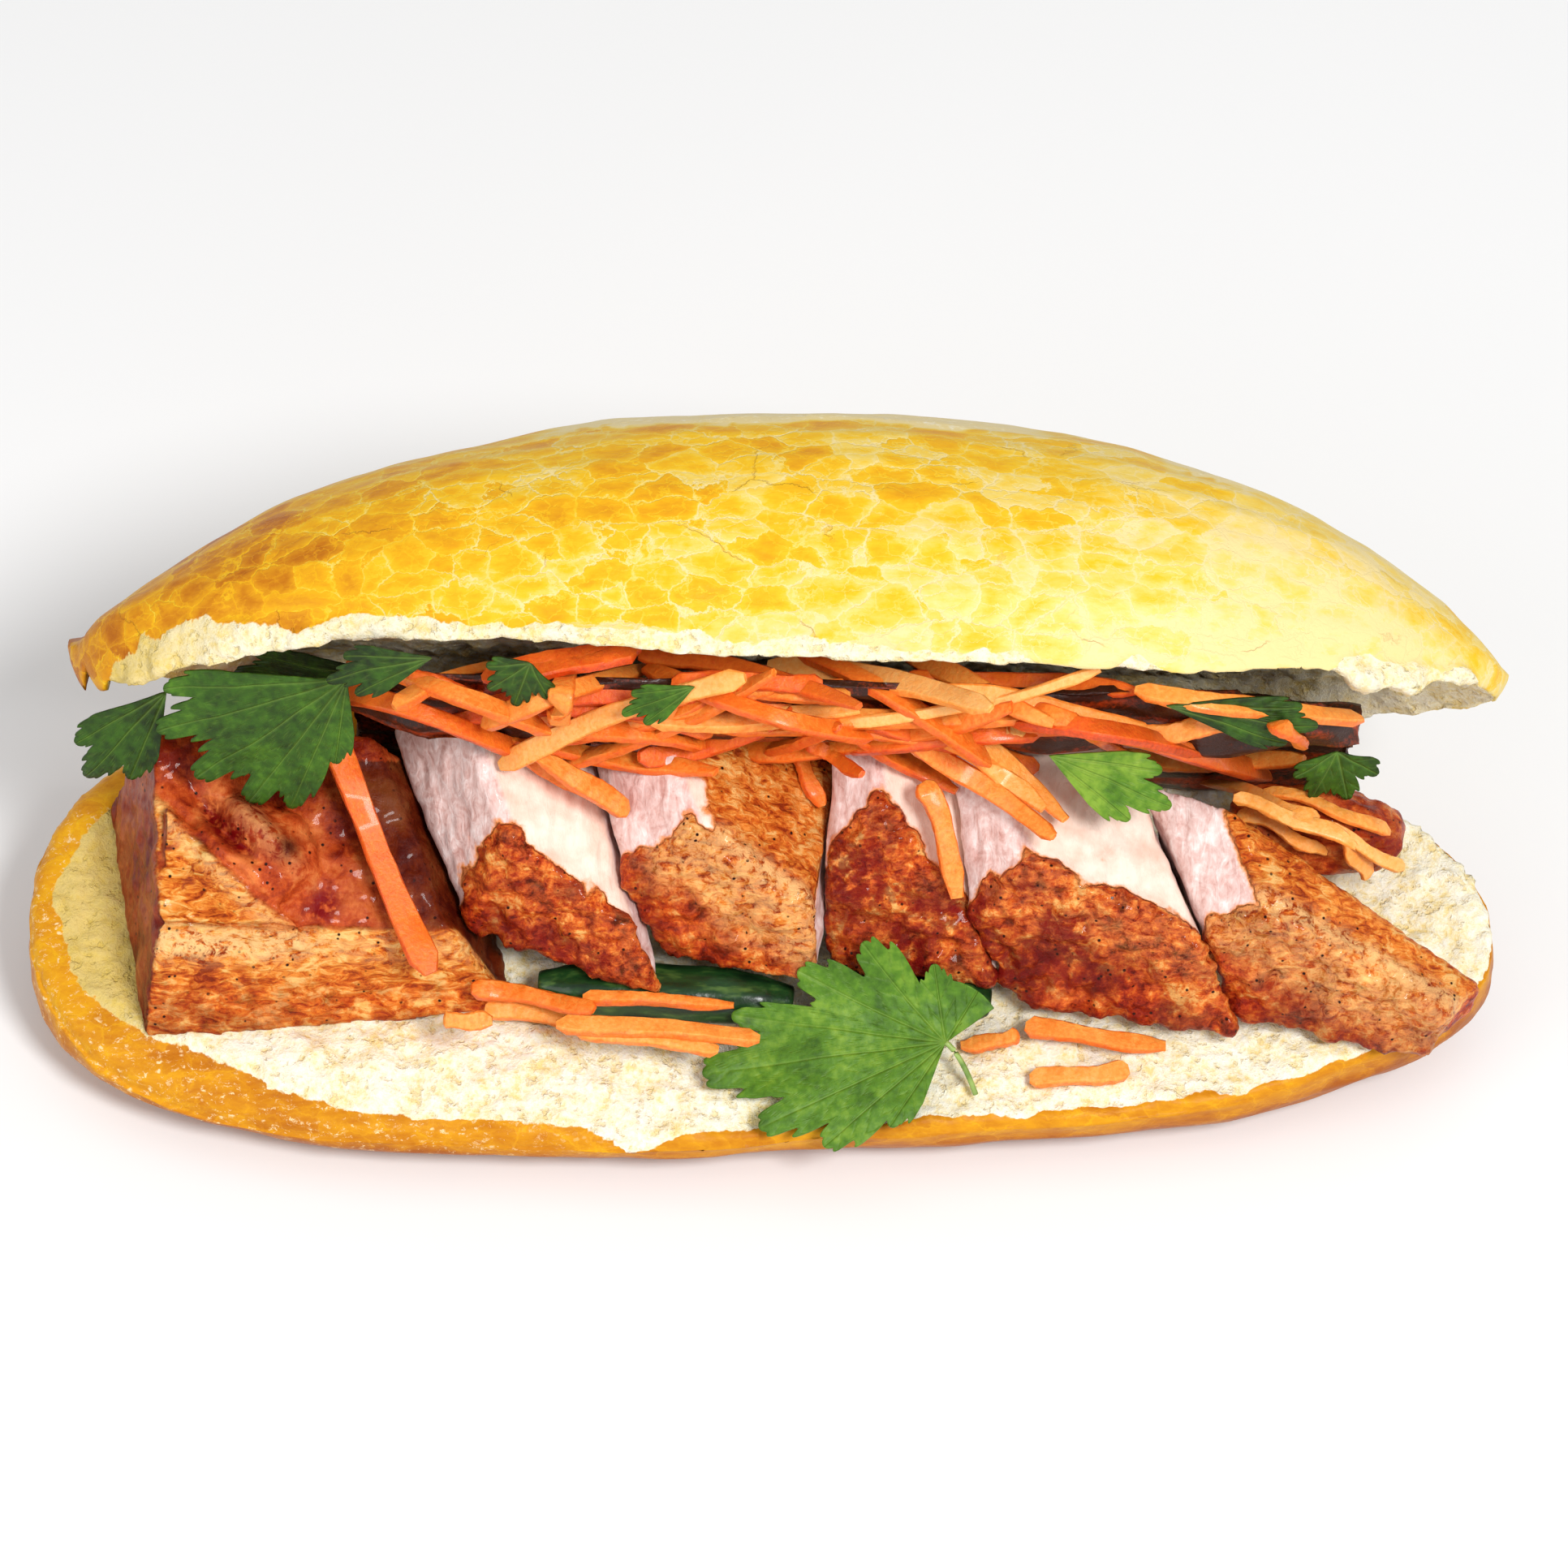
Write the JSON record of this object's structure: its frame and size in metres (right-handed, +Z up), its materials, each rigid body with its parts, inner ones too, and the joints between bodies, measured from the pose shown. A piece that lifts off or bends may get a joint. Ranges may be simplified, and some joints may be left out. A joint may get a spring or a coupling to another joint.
{
  "type": "banh mi sandwich",
  "caption": "Open banh mi sandwich: crusty hinged roll filled with sliced roast meat, cucumber, shredded carrot and coriander leaves.",
  "frame": {"origin": "on the resting plane, under the middle of the sandwich's box", "axes": "+X along the roll to the right as seen from its open side, +Y towards the hinge at the back, +Z up"},
  "size_m": [0.2354, 0.1004, 0.1036],
  "materials": {
    "bread": "golden baked crust, dull sheen",
    "roast_meat": "moist roast meat, glossy browned crackling",
    "cucumber": "wet dark green skin",
    "carrot": "moist shredded carrot",
    "coriander": "fresh green leaf, soft sheen"
  },
  "bodies": {
    "root": {"bread": "bread", "meat_end_piece": "roast_meat", "meat_slice_2": "roast_meat", "meat_slice_3": "roast_meat", "meat_slice_4": "roast_meat", "meat_slice_5": "roast_meat", "meat_slice_6": "roast_meat", "meat_back_right": "roast_meat", "meat_back_left": "roast_meat", "cucumber_left": "cucumber", "cucumber_right": "cucumber", "carrot_heap": "carrot", "carrot_bundle_front": "carrot", "carrot_bundle_middle": "carrot", "carrot_shreds_right": "carrot", "carrot_strip_left": "carrot", "carrot_strip_on_slice": "carrot", "carrot_strip_hanging": "carrot", "carrot_strip_upturned": "carrot", "carrot_strip_right": "carrot", "carrot_strip_front": "carrot", "coriander_front": "coriander", "coriander_left": "coriander", "coriander_left_low": "coriander", "coriander_right": "coriander", "coriander_under_bread_left": "coriander", "coriander_centre_left": "coriander", "coriander_centre": "coriander", "coriander_under_strips": "coriander", "coriander_under_bread_right": "coriander"}
  },
  "joints": []
}
